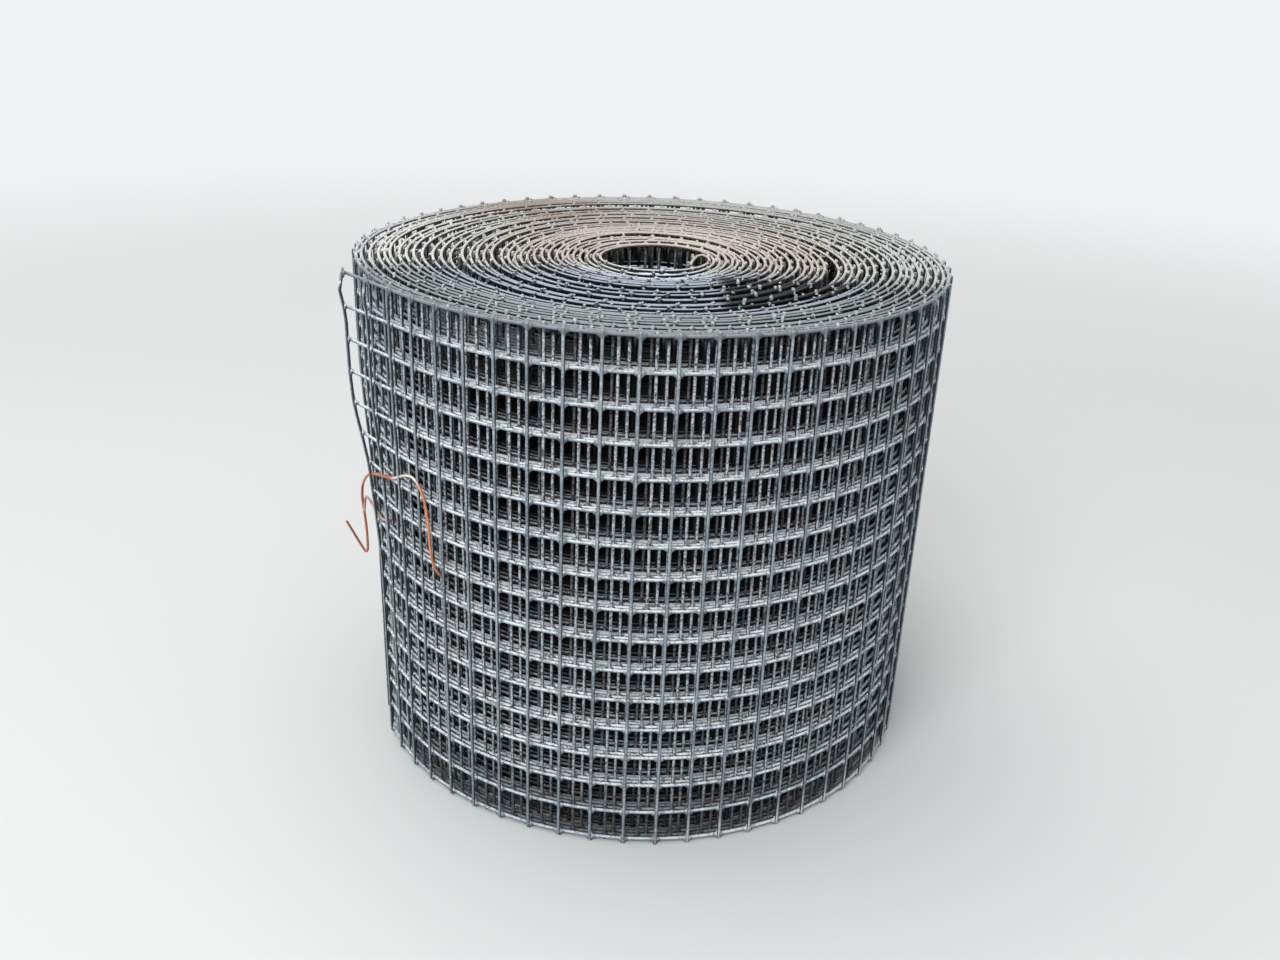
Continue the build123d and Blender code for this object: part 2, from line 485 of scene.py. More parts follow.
# %% Tubes from arrays
class WireMesh:
    """Collects tubes and other closed shapes, and makes one object from them."""

    def __init__(self):
        self.points, self.quads, self.ends, self.count = [], [], [], 0
        self.end_material, self.quad_material = [], []

    def add_tubes(self, centre, side, up, radius, faces_round, end_material=0, stub_material=0):
        """centre, side and up: arrays of tubes by rings by 3. radius: a number or tubes by rings.
        The last two bands of faces carry the stub material."""
        tubes, rings = centre.shape[:2]
        turned = 2 * math.pi * (np.arange(faces_round) + 0.5) / faces_round
        reach = np.broadcast_to(radius, (tubes, rings))[:, :, None, None]
        round_it = side[:, :, None] * np.cos(turned)[:, None] + up[:, :, None] * np.sin(turned)[:, None]
        points = centre[:, :, None] + reach * round_it
        index = self.count + np.arange(tubes * rings * faces_round).reshape(tubes, rings, faces_round)
        after = np.roll(index, -1, axis=2)
        quads = np.stack([index[:, :-1], after[:, :-1], after[:, 1:], index[:, 1:]], -1)
        self.points.append(points.reshape(-1, 3))
        self.quads.append(quads.reshape(-1, 4))
        material = np.zeros(quads.shape[:3], int)
        material[:, -2:] = stub_material
        self.quad_material.append(material.ravel())
        for end in (index[:, 0, ::-1], index[:, -1]):
            self.ends.append(end)
            self.end_material.append(np.full(len(end), end_material))
        self.count += tubes * rings * faces_round

    def add_shapes(self, points, faces):
        """points: shapes by corners by 3. faces: the corner numbers of one shape, all of one length."""
        shapes, corners = points.shape[:2]
        first = self.count + corners * np.arange(shapes)
        self.points.append(points.reshape(-1, 3))
        made = (first[:, None, None] + np.array(faces)).reshape(-1, len(faces[0]))
        self.ends.append(made)
        self.end_material.append(np.zeros(len(made), int))
        self.count += shapes * corners

    def make(self, name, *materials):
        """The object, with its faces shaded smooth, and nothing of it below the floor."""
        groups = [np.concatenate(self.quads), *self.ends]
        corner_count = np.concatenate([np.full(len(g), g.shape[1]) for g in groups])
        corner = np.concatenate([g.ravel() for g in groups])
        slot = np.concatenate([*self.quad_material, *self.end_material])
        points = np.concatenate(self.points)
        points[:, 2] = np.maximum(points[:, 2], 0)
        mesh = bpy.data.meshes.new(name)
        mesh.vertices.add(len(points))
        mesh.vertices.foreach_set("co", points.ravel())
        mesh.loops.add(len(corner))
        mesh.loops.foreach_set("vertex_index", corner)
        mesh.polygons.add(len(corner_count))
        mesh.polygons.foreach_set("loop_start", np.cumsum(corner_count) - corner_count)
        mesh.polygons.foreach_set("material_index", slot)
        mesh.polygons.foreach_set("use_smooth", np.ones(len(corner_count), bool))
        mesh.update()
        mesh.validate()
        for material in materials:
            mesh.materials.append(material)
        print(f"{name}: {int((corner_count - 2).sum())} triangles")
        return add_object(name, mesh)


print("helper ready")

# %% [markdown]
# ## Short calls for materials
# The finish is mixed from noise, from the direction that a face looks in and from its place in the roll,
# so it needs no picture. It takes many nodes, and this class makes each with one short call.

# %% Helpers for materials
class Recipe:
    """Builds a node tree with short calls. Values may be numbers or sockets."""

    def __init__(self, name):
        self.material = bpy.data.materials.new(name)
        self.material.use_nodes = True
        self.nodes = self.material.node_tree.nodes
        self.links = self.material.node_tree.links
        self.shader = self.nodes["Principled BSDF"]
        self.place = self.nodes.new("ShaderNodeTexCoord").outputs["Object"]
        self.normal = self.nodes.new("ShaderNodeNewGeometry").outputs["Normal"]
        self.x, self.y, self.z = self.add("SeparateXYZ", [self.place])
        self.faces_up = self.add("SeparateXYZ", [self.normal])["Z"]

    def set(self, socket, value):
        if isinstance(value, bpy.types.NodeSocket):
            self.links.new(value, socket)
        else:
            socket.default_value = value

    def add(self, kind, values, **settings):
        """Makes a node with these values in its first inputs, and returns its outputs."""
        node = self.nodes.new("ShaderNode" + kind)
        for name, setting in settings.items():
            setattr(node, name, setting)
        for socket, value in zip(node.inputs, values):
            self.set(socket, value)
        return node.outputs

    def maths(self, operation, *values):
        return self.add("Math", values, operation=operation)["Value"]

    def vector_maths(self, operation, *values):
        return self.add("VectorMath", values, operation=operation)

    def product(self, first, *others):
        for other in others:
            first = self.maths("MULTIPLY", first, other)
        return first

    def largest(self, first, *others):
        for other in others:
            first = self.maths("MAXIMUM", first, other)
        return first

    def noise(self, scale, detail=3.0, rough=0.6):
        return self.add("TexNoise", (self.place, 0.0, scale, detail, rough))["Fac"]

    def ramp(self, value, low, high, to_low=0.0, to_high=1.0):
        """to_low up to low, to_high from high on, and a soft change between them."""
        values = (value, low, high, to_low, to_high)
        return self.add("MapRange", values, interpolation_type="SMOOTHSTEP")["Result"]

    def between(self, share, a, b):
        """The number a where share is 0, and b where it is 1."""
        return self.maths("MULTIPLY_ADD", share, b - a, a)

    def mix(self, share, a, b):
        """The colour a where share is 0, and b where it is 1."""
        node = self.nodes.new("ShaderNodeMix")
        node.data_type = "RGBA"
        self.set(node.inputs["Factor"], share)
        for socket, value in zip(node.inputs[6:8], (a, b)):
            self.set(socket, value if isinstance(value, bpy.types.NodeSocket) else (*value, 1))
        return node.outputs[2]

    def finish(self, values):
        """Sets these inputs of the shader, and returns the material."""
        for name, value in values.items():
            self.set(self.shader.inputs[name], value)
        return self.material

    def bump(self, value, strength, distance):
        node = self.nodes.new("ShaderNodeBump")
        node.inputs["Strength"].default_value = strength
        node.inputs["Distance"].default_value = distance
        self.links.new(value, node.inputs["Height"])
        self.links.new(node.outputs[0], self.shader.inputs["Normal"])


print("recipe ready")

# %% [markdown]
# ## How far the weather and the painted light reach
# The coating is black, but years outdoors have made it grey. Rain and dust come in from the outside, the
# ends and the bore. Deep in the roll the colour goes black, partly unweathered coating and partly painted
# shade where little light gets in. Dust falls in deeper than rain, and settles on whatever faces up,
# where the painted light also goes deeper.

# %% Distances and the reach of the weather and of painted light
# Full up to the first distance from an open side and none beyond the second, in metres
WEATHERED_AND_LIT_FROM_OUTSIDE = (0.0036, 0.0110)
DUST_AND_LIGHT_LIE_FROM_OUTSIDE = (0.0070, 0.0165)
WEATHERED_AND_LIT_FROM_ENDS = (0.003, 0.010)
DUST_AND_LIGHT_LIE_FROM_ENDS = (0.005, 0.012)
WEATHERED_AND_LIT_FROM_BORE = (0.003, 0.009)
# How strong it is inside where it isn't full
IN_BORE, AT_LOWER_END, WHERE_DUST_AND_LIGHT_LIE, ON_OPEN_LEFT = 0.5, 0.15, 0.85, 0.65


def from_axis(r, x=0.0, y=roll_middle_y):
    """How far a point is from an upright line, by default that through the middle of the outside."""
    flat = r.vector_maths("MULTIPLY", r.place, (1, 1, 0))["Vector"]
    return r.vector_maths("DISTANCE", flat, (x, y, 0))["Value"]


def round_the_bore(r):
    """1 round the bore, from the upper end down past the second row, where one looks in on it."""
    near = r.ramp(from_axis(r, 0, 0), bore_radius + 0.018, bore_radius + 0.022, 1, 0)
    return r.product(near, r.ramp(r.z, height - 0.022, height - 0.018))


def weathered_and_lit(r):
    """1 where rain, dust and painted light get in, and 0 deep in the roll, where the black is partly painted
    shade.
    """
    bore_near, bore_far = (bore_radius + depth for depth in WEATHERED_AND_LIT_FROM_BORE)
    reached_and_lit = r.largest(
        r.ramp(from_axis(r, 0, 0), bore_near, bore_far, IN_BORE, 0),
        r.ramp(r.z, *WEATHERED_AND_LIT_FROM_ENDS, AT_LOWER_END, 0),
    )
    lies_and_lit = r.ramp(r.faces_up, 0.3, 0.8)
    for surface, far, weathered_and_lit_span, dusty_and_lit_span in (
        (from_axis(r), outer_radius, WEATHERED_AND_LIT_FROM_OUTSIDE, DUST_AND_LIGHT_LIE_FROM_OUTSIDE),
        (r.z, height, WEATHERED_AND_LIT_FROM_ENDS, DUST_AND_LIGHT_LIE_FROM_ENDS),
    ):
        washed_and_lit = r.ramp(surface, far - weathered_and_lit_span[1], far - weathered_and_lit_span[0])
        dust_and_light_fallen = r.ramp(surface, far - dusty_and_lit_span[1], far - dusty_and_lit_span[0], 0, WHERE_DUST_AND_LIGHT_LIE)
        reached_and_lit = r.largest(reached_and_lit, washed_and_lit, r.product(dust_and_light_fallen, lies_and_lit))
    # On the left the turns stand open, and dust and painted light go deeper
    on_left = r.ramp(r.x, -0.065, -0.020, ON_OPEN_LEFT, 0)
    open_turns = r.product(on_left, r.ramp(r.z, height - 0.032, height - 0.008))
    return r.largest(reached_and_lit, open_turns, r.product(round_the_bore(r), lies_and_lit))


def faces_in_or_out(r):
    """How squarely a face looks out of the roll or into it, from 0 to 1."""
    flat = r.vector_maths("MULTIPLY_ADD", r.place, (1, 1, 0), (0, -roll_middle_y, 0))["Vector"]
    direction = r.vector_maths("NORMALIZE", flat)["Vector"]
    return r.maths("ABSOLUTE", r.vector_maths("DOT_PRODUCT", direction, r.normal)["Value"])


print("weather ready")

# %% [markdown]
# ## The dust on the upper end
# Whatever faces up here has a film of dust: beige inside and grey round it, paler on the left, darker at
# the far back and rusty in places. The film on the crowns of the wires is partly a painted highlight, and
# their sides are dark as painted shade. In front it is thin, and one sharp-edged patch is dark.

# %% The film on the upper end
BLACK_COATING = (0.007, 0.007, 0.008)
BEIGE_DUST = (0.56, 0.50, 0.44)
GREY_DUST = (0.53, 0.55, 0.53)
LEFT_DUST = (0.74, 0.72, 0.68)
BACK_DUST = (0.28, 0.265, 0.25)
RUSTY_DUST = (0.32, 0.23, 0.17)
DUST_BEFORE_BORE = (0.55, 0.60, 0.66)
FRONT_DUST = (0.34, 0.39, 0.45)
RIM_DUST = (0.26, 0.285, 0.295)
DUST_IN_BORE = (0.90, 0.91, 0.92)
DARK_SPECKS = (0.15, 0.13, 0.115)
# Sides of the wires on the upper end, dark as painted shade, a little dusty at the back
DUSTY_SHADED_SIDES = ((0.05, 0.047, 0.044), (0.17, 0.16, 0.15))
SHADED_FRONT_SIDES = (0.010, 0.012, 0.016)
# Upward faces in the dark patch, a little lighter as a painted highlight
DARK_PATCH_HIGHLIGHT = (0.035, 0.042, 0.052)
HANDLED_EDGE = ((0.09, 0.10, 0.115), (0.27, 0.30, 0.32))
WHITE_RUST = (0.64, 0.64, 0.61)

RUSTY_PLACE = (-0.050, roll_middle_y + 0.078)
# A sharp-edged dark patch on the upper end, in front on the right
# Seen from the middle of the roll
DARK_PATCH_LEFT = 0.0225
DARK_PATCH_BACK = -0.038
DARK_PATCH_REACH = 0.0870


def dust_colour(r, back, behind, rim, grains, patches):
    """The colour of what lies there. behind is 1 behind the washed front, rim 1 on the outermost turns."""
    before_bore = r.ramp(from_axis(r, 0, 0), bore_radius + 0.008, bore_radius + 0.020, 1, 0)
    rusty = r.product(r.ramp(from_axis(r, *RUSTY_PLACE), 0.010, 0.065, 0.7, 0), r.ramp(patches, 0.42, 0.55))
    dust = r.mix(r.ramp(from_axis(r), 0.060, 0.098), BEIGE_DUST, GREY_DUST)
    dust = r.mix(r.ramp(r.x, -0.105, -0.035, 0.75, 0), dust, LEFT_DUST)
    dust = r.mix(r.ramp(back, 0.015, 0.070, 0, 0.5), dust, BACK_DUST)
    dust = r.mix(rusty, dust, RUSTY_DUST)
    front = r.mix(rim, r.mix(before_bore, FRONT_DUST, DUST_BEFORE_BORE), RIM_DUST)
    dust = r.mix(behind, front, dust)
    return r.mix(r.ramp(grains, 0.30, 0.55, 0.6, 0.0), dust, DARK_SPECKS)


def add_film(r, colour, dust, behind, rim, grains):
    """The dust film on upturned faces, partly a painted highlight, and the sides of the wires made dark as
    painted shade, over this colour.
    """
    # Upturned faces take the dust film, partly a painted highlight on the crowns, and the rest the painted
    # shade of the sides
    lies_thick_and_lit = r.product(r.largest(behind, rim), r.ramp(r.faces_up, 0.24, 0.62))
    lies_and_lit = r.largest(r.ramp(r.faces_up, 0.38, 0.74), lies_thick_and_lit)
    sides = r.mix(r.ramp(grains, 0.35, 0.60), *DUSTY_SHADED_SIDES)
    film = r.mix(lies_and_lit, r.mix(behind, SHADED_FRONT_SIDES, sides), dust)
    second_row = r.product(lies_and_lit, r.ramp(r.z, height - 0.010, height - 0.008, 1, 0))
    film = r.mix(second_row, film, DUST_IN_BORE)
    covers = r.largest(r.ramp(r.z, height - 0.0075, height - 0.0035), r.product(lies_and_lit, round_the_bore(r)))
    not_outermost = r.ramp(from_axis(r), outer_radius - 0.0025, outer_radius - 0.0005, 1, 0)
    return r.mix(r.product(covers, not_outermost), colour, film)


def on_upper_end(r, colour, grains, patches, tips):
    """What is different on the upper end, over this colour. tips: also the white rust on stubs."""
    back = r.maths("SUBTRACT", r.y, roll_middle_y)
    behind = r.ramp(r.maths("MULTIPLY_ADD", r.maths("ABSOLUTE", r.x), 0.15, back), -0.038, -0.012)
    rim = r.ramp(from_axis(r), outer_radius - 0.027, outer_radius - 0.019)
    dust = dust_colour(r, back, behind, rim, grains, patches)
    colour = add_film(r, colour, dust, behind, rim, grains)

    # The sharp-edged dark patch in front on the right
    dark_patch = r.product(
        r.ramp(from_axis(r), DARK_PATCH_REACH, DARK_PATCH_REACH + 0.002, 1, 0),
        r.ramp(r.x, DARK_PATCH_LEFT - 0.002, DARK_PATCH_LEFT + 0.005),
        r.ramp(back, DARK_PATCH_BACK - 0.004, DARK_PATCH_BACK, 1, 0),
    )
    # Its colour: black, with upward faces a little lighter as a painted highlight
    bare = r.mix(r.ramp(r.faces_up, 0.8, 1.0, 0, 0.4), BLACK_COATING, DARK_PATCH_HIGHLIGHT)
    colour = r.mix(r.product(dark_patch, 0.97), colour, bare)

    # Round the outside the edge has been handled, and is darker
    handled = r.product(
        r.ramp(from_axis(r), outer_radius - 0.0030, outer_radius - 0.0022, 0, 0.85),
        r.ramp(r.z, height - 0.0040, height - 0.0030),
        r.between(behind, 1, 0.25),
    )
    colour = r.mix(handled, colour, r.mix(grains, *HANDLED_EDGE))
    if not tips:
        return colour
    white = r.largest(dark_patch, r.product(behind, 0.6), r.between(rim, 0.2, 0.75))
    return r.mix(r.product(white, r.ramp(grains, 0.42, 0.58, 0.1, 1)), colour, WHITE_RUST)


print("film ready")

# %% [markdown]
# ## The coated wire
# There are three kinds of it. The outermost turn is smooth and blue grey, the turns behind it are gritty,
# and so are their stubs, which have white rust as well. Noise of three sizes breaks up every colour.

# %% The coated wire and its cut ends
DULL_COATING = (0.15, 0.18, 0.21)
WASHED_COATING = (0.335, 0.385, 0.425)
# Pale dust on upturned faces, lighter than dust alone as a painted highlight
LYING_DUST_AND_HIGHLIGHT = (0.88, 0.93, 0.97)
THIN_DUST = (0.30, 0.33, 0.35)
PALE_WEAR = (0.61, 0.67, 0.71)
PALE_SPECKS = (0.73, 0.78, 0.81)
DARK_WEAR = (0.09, 0.10, 0.11)
PALE_FOOT = (0.72, 0.72, 0.68)
DARK_GRIT = (0.07, 0.07, 0.07)
PALE_GRIT = (0.55, 0.60, 0.64)
LYING_GRIT = (0.78, 0.79, 0.78)
LYING_DIRT = (0.26, 0.27, 0.28)
# Painted shade on the sides and undersides of the wires
SHADED_SIDE = (0.040, 0.042, 0.045)
CUT_METAL = ((0.24, 0.22, 0.20), (0.55, 0.54, 0.51))


def washed_colour(r, patches, grains, coarse):
    """Smooth and blue grey, with pale wear, and dust on the line wires, whose upper faces are partly a
    painted highlight.
    """
    colour = r.mix(r.ramp(patches, 0.30, 0.70), DULL_COATING, WASHED_COATING)
    lying_and_lit = r.mix(r.ramp(coarse, 0.36, 0.52), WASHED_COATING, LYING_DUST_AND_HIGHLIGHT)
    lying_and_lit = r.mix(r.ramp(r.z, height - 0.050, height - 0.012, 0, 0.3), lying_and_lit, THIN_DUST)
    # Darker towards the floor, partly less dust and partly painted shade near the ground
    lying_and_lit = r.mix(r.ramp(r.z, 0.006, 0.042, 0.4, 0), lying_and_lit, THIN_DUST)
    # Upturned faces take the pale dust, partly a painted highlight on the tops of the wires
    colour = r.mix(r.ramp(r.faces_up, 0.05, 0.65, 0, 0.9), colour, lying_and_lit)
    colour = r.mix(r.ramp(coarse, 0.56, 0.70, 0, 0.5), colour, PALE_WEAR)
    colour = r.mix(r.ramp(grains, 0.56, 0.68, 0, 0.75), colour, PALE_SPECKS)
    colour = r.mix(r.ramp(grains, 0.32, 0.44, 0.6, 0), colour, DARK_WEAR)
    # On the right the foot of the roll has stood in something pale
    on_right = r.product(r.ramp(r.z, 0.003, 0.015, 0.8, 0), r.ramp(r.x, -0.01, 0.04))
    return r.mix(r.product(on_right, r.ramp(coarse, 0.38, 0.52, 0.35, 1)), colour, PALE_FOOT)


def gritty_colour(r, patches, grains, coarse):
    """Covered with grit, thin on the uprights and thick where it can lie, with upturned faces partly a
    painted highlight.
    """
    colour = r.mix(r.ramp(grains, 0.38, 0.60), DARK_GRIT, PALE_GRIT)
    lying_and_lit = r.mix(r.ramp(patches, 0.30, 0.60), LYING_GRIT, LYING_DUST_AND_HIGHLIGHT)
    lying_and_lit = r.mix(r.ramp(coarse, 0.34, 0.50), LYING_DIRT, lying_and_lit)
    lying_and_lit = r.mix(r.ramp(r.z, height - 0.050, height - 0.012, 0, 0.45), lying_and_lit, THIN_DUST)
    # Upturned faces take the pale dust, partly a painted highlight on the tops of the wires
    colour = r.mix(r.ramp(r.faces_up, 0.1, 0.6), colour, lying_and_lit)
    # Darker towards the floor, partly less dust and partly painted shade near the ground, so the cells there
    # are black
    return r.mix(r.ramp(r.z, 0.008, 0.036, 0.8, 0), colour, BLACK_COATING)


def make_coated_wire(name, outermost=False, tips=False):
    r = Recipe(name)
    patches, grains, coarse = r.noise(45, 4), r.noise(1100, 3, 0.7), r.noise(480, 2, 0.6)
    coating = washed_colour if outermost else gritty_colour
    colour = coating(r, patches, grains, coarse)
    # Painted shade: the sides and undersides of the wires are made dark as if unlit, and only what faces up
    # or out keeps its colour, partly as sun bleaching
    bleached = r.largest(r.ramp(r.faces_up, 0.15, 0.7), r.ramp(faces_in_or_out(r), 0.35, 0.85))
    colour = r.mix(bleached, SHADED_SIDE, colour)
    colour = on_upper_end(r, colour, grains, patches, tips)
    # Deep in the roll the colour goes black, partly unweathered coating and partly painted shade
    colour = r.mix(weathered_and_lit(r), BLACK_COATING, colour)
    r.bump(grains, 0.4, 0.0002)
    roughness = r.ramp(grains, 0.2, 0.8, 0.42, 0.72)
    return r.finish({"Base Color": colour, "Roughness": roughness, "Specular IOR Level": 0.22})


def make_cut_wire():
    """The bare ends of the cross wires, zinc grey with white rust."""
    r = Recipe("cut_wire")
    colour = r.mix(r.ramp(r.noise(700, 2), 0.30, 0.60), *CUT_METAL)
    return r.finish({"Base Color": colour, "Roughness": 0.6, "Metallic": 0.2})


washed_coating = make_coated_wire("washed_coating", outermost=True)
gritty_coating = make_coated_wire("gritty_coating")
stub_coating = make_coated_wire("stub_coating", tips=True)
cut_wire = make_cut_wire()
print("materials:", washed_coating.name, gritty_coating.name, stub_coating.name, cut_wire.name)

# %% [markdown]
# ## The line wires
# Seventeen long wires run the whole length of the web, on the inside of the cross wires. Where they
# can be seen well, in the outer turns, in the upper row and round the bore, they get more points along
# them. Deep in the roll one straight run from weld to weld is enough.

# %% Line wires of one part of the roll
def stations(first, last, runs):
    """Places along the web from one crossing to another, each cell divided into this many runs."""
    cells = crossing[first:last + 1]
    inner = cells[:-1, None] + np.diff(cells)[:, None] * np.arange(runs) / runs
    return np.append(inner.ravel(), cells[-1])


def add_line_wires(mesh, places, rows, faces_round):
    """One tube for each row, through these places along the web."""
    z = row_height[rows][:, None] + drift_at(places)
    centre = web_point(places, z, -wire_offset)
    side = np.broadcast_to(outward_at(places), centre.shape)
    up = np.broadcast_to((0.0, 0.0, 1.0), centre.shape)
    mesh.add_tubes(centre, side, up, wire_radius, faces_round)


print("line wires ready")

# %% [markdown]
# ## The cross wires
# These stand upright on the outside of the line wires and reach a little past the upper and the lower
# one. The cutter leaves each a slightly different length and squeezes its end, so the last ring of
# each tube is a little narrower, and the bare metal of the cut is a face with its own material.

# %% Cross wires of one part of the roll
LEAST_STUB = 0.0009
# A power: the higher it is, the fewer of the stubs are long
FEW_LONG_STUBS, FEW_LONG_WORN_STUBS = 1.3, 4
CUT_BEVEL = 0.00018
CUT_NARROWER = 0.78
WIRE_LEANS = 0.00012
STUB_BENT = 0.0003
# How much of that bend the last but one and the last ring have
BEND_SHARES = (0.7, 1)


def add_cross_wires(mesh, chosen, runs, faces_round, worn):
    """Upright tubes at these crossings, with this many runs from weld to weld, or none if it is 0."""
    place = crossing[chosen][:, None]
    drift = drift_at(place)
    uneven = rng.uniform(0, 1, (2, len(chosen), 1)) ** (FEW_LONG_WORN_STUBS if worn else FEW_LONG_STUBS)
    left_over = LEAST_STUB + (stub - LEAST_STUB) * uneven
    below = stub - left_over[0] + np.maximum(drift, 0)
    above = height - stub + left_over[1] + np.minimum(drift, 0)
    if runs:
        z = drift + row_height[0] + CELL * np.arange(CELLS_ACROSS * runs + 1) / runs
    else:
        z = drift + row_height[[0, -1]]
    z = np.concatenate([below, below + CUT_BEVEL, z, above - CUT_BEVEL, above], 1)
    lean = rng.normal(0, WIRE_LEANS, (len(chosen), 1)) * (z - height / 2) / height * 2
    off = np.full(z.shape, wire_offset)
    if not worn:
        lean[:, -2:] += rng.normal(0, STUB_BENT, (len(chosen), 1)) * BEND_SHARES
        off[:, -2:] -= np.abs(rng.normal(0, STUB_BENT, (len(chosen), 1))) * BEND_SHARES
    centre = web_point(place + lean, z, off)
    side = np.broadcast_to(outward_at(place), centre.shape)
    radius = np.full(z.shape, wire_radius)
    radius[:, [0, -1]] *= CUT_NARROWER
    stub_material = 0 if worn else 2
    mesh.add_tubes(centre, side, -sideways_from(side), radius, faces_round, 1, stub_material)


print("cross wires ready")

# %% [markdown]
# ## The coating in the corners
# The mesh was dipped after welding, and the coating crept into the corners of every cell, so the
# openings have rounded corners. That rounding is most of what tells coated mesh from bare mesh. Up
# close it is a thin star with hollow sides. Deeper in the roll a small diamond does the same.

# %% Stars and diamonds at the welds
CORNER_ROUNDING = 0.00135
HOLLOW_SIDE_DEGREES = (84, 62, 45, 28, 6)
STAR_HALF_THICKNESS = 0.00042
STAR_MIDDLE_HIGHER = 0.0002
STAR_RIM_THICKNESS = 0.5 * STAR_HALF_THICKNESS
DIAMOND_REACH = 0.75 * CORNER_ROUNDING + wire_radius
DIAMOND_HALF_THICKNESS = 0.7 * half_web


def at_welds(chosen, rows):
    """Middle points, outward and sideways directions of the welds at these crossings and rows."""
    place = np.repeat(crossing[chosen], len(rows))
    z = np.tile(row_height[rows], len(chosen)) + drift_at(place)
    side = outward_at(place)
    return web_point(place, z, 0), side, sideways_from(side)


def star_outline():
    """The corner points of the star, sideways and up, with one hollow arc in each quarter."""
    far = wire_radius + CORNER_ROUNDING
    bow = np.radians(HOLLOW_SIDE_DEGREES)
    quarter = np.stack([far - CORNER_ROUNDING * np.sin(bow), far - CORNER_ROUNDING * np.cos(bow)], 1)[::-1]
    turns_of_it = []
    for k in range(4):
        c, s = math.cos(k * math.pi / 2), math.sin(k * math.pi / 2)
        turns_of_it.append(quarter @ np.array([[c, s], [-s, c]]))
    return np.concatenate(turns_of_it)


def add_stars(mesh, chosen, rows):
    middle, side, sideways = at_welds(chosen, rows)
    outline = star_outline()
    corners = []
    for layer in (1, -1):
        rim = sideways[:, None] * outline[:, :1] + np.array([0, 0, 1]) * outline[:, 1:]
        corners.append(middle[:, None] + rim + layer * STAR_RIM_THICKNESS * side[:, None])
        corners.append((middle + layer * (STAR_HALF_THICKNESS + STAR_MIDDLE_HIGHER) * side)[:, None])
    n = len(outline)
    faces = []
    for k in range(n):
        after = (k + 1) % n
        faces.append((after, k, n))
        faces.append((n + 1 + k, n + 1 + after, 2 * n + 1))
        faces.append((k, after, n + 1 + after))
        faces.append((k, n + 1 + after, n + 1 + k))
    mesh.add_shapes(np.concatenate(corners, 1), faces)


def add_diamonds(mesh, chosen, rows):
    middle, side, sideways = at_welds(chosen, rows)
    ways = (sideways, np.array([0, 0, 1.0]), -sideways, np.array([0, 0, -1.0]))
    corners = [middle + DIAMOND_REACH * way for way in ways]
    corners += [middle + DIAMOND_HALF_THICKNESS * side, middle - DIAMOND_HALF_THICKNESS * side]
    faces = [(0, 1, 5), (1, 2, 5), (2, 3, 5), (3, 0, 5), (1, 0, 4), (2, 1, 4), (3, 2, 4), (0, 3, 4)]
    mesh.add_shapes(np.stack(corners, 1), faces)


print("corner shapes ready")

# %% [markdown]
# ## Putting the roll together
# The roll is made in parts, from the bore outwards, because one mesh of all its faces would be awkward to
# handle. Each part is a stretch of the same web, and they meet at a crossing, where the joint can't be
# seen.

# %% Parts of the roll
ALL_ROWS = np.arange(CELLS_ACROSS + 1)
LOWER_ROWS, TOP_ROW = ALL_ROWS[:-1], ALL_ROWS[-1:]
TOP_ROW_RUNS, TOP_ROW_SIDES = 2, 8
# name, first turn, runs from weld to weld in the line wires, in the cross wires, sides, corner shapes
PARTS = (
    ("web_round_the_bore", -1, 3, 0, 6, "top row"),
    ("web_inner_turns", 9, 1, 0, 6, "top row"),
    ("web_middle_turns", 19, 1, 0, 6, "top row"),
    ("web_outer_turns", 28, 2, 0, 6, "diamonds"),
    ("web_last_turn_but_one", 32.33, 2, 1, 8, "diamonds"),
    ("web_last_turn", 33.36, 3, 2, 8, "stars"),
)


def first_crossing(turn_number):
    return int(np.searchsorted(crossing_turn, turn_number)) if turn_number > 0 else 0


def make_part(number):
    name, start, line_runs, cross_runs, faces_round, corners = PARTS[number]
    last_part = number == len(PARTS) - 1
    first = first_crossing(start)
    last = len(crossing) - 1 if last_part else first_crossing(PARTS[number + 1][1])
    chosen = np.arange(first, last + (1 if last_part else 0))
    mesh = WireMesh()
    add_line_wires(mesh, stations(first, last, line_runs), LOWER_ROWS, faces_round)
    add_line_wires(mesh, stations(first, last, max(line_runs, TOP_ROW_RUNS)), TOP_ROW, TOP_ROW_SIDES)
    add_cross_wires(mesh, chosen, cross_runs, faces_round, worn=last_part)
    if corners == "stars":
        add_stars(mesh, chosen, ALL_ROWS)
    else:
        add_diamonds(mesh, chosen, ALL_ROWS if corners == "diamonds" else TOP_ROW)
    part = mesh.make(name, washed_coating if last_part else gritty_coating, cut_wire, stub_coating)
    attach(part, "root")
    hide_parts("mesh_roll")


for part_number in range(len(PARTS)):
    make_part(part_number)

# %% [markdown]
# ## The tie wire
# A length of soft copper wire was laced round the cut edge of the web to hold it, and its ends were
# left standing. It keeps the shape that it was bent to, so it is drawn as a smooth curve along points
# beside the roll. They follow the solid, and a short strand that the solid leaves out is added.

# %% Tie wire
TIE_WIRE = 0.00105
TIE_MIDDLE = 9.2
TIE_GAP = 0.0003
TIE_CLOSE = TIE_GAP + TIE_WIRE / 2
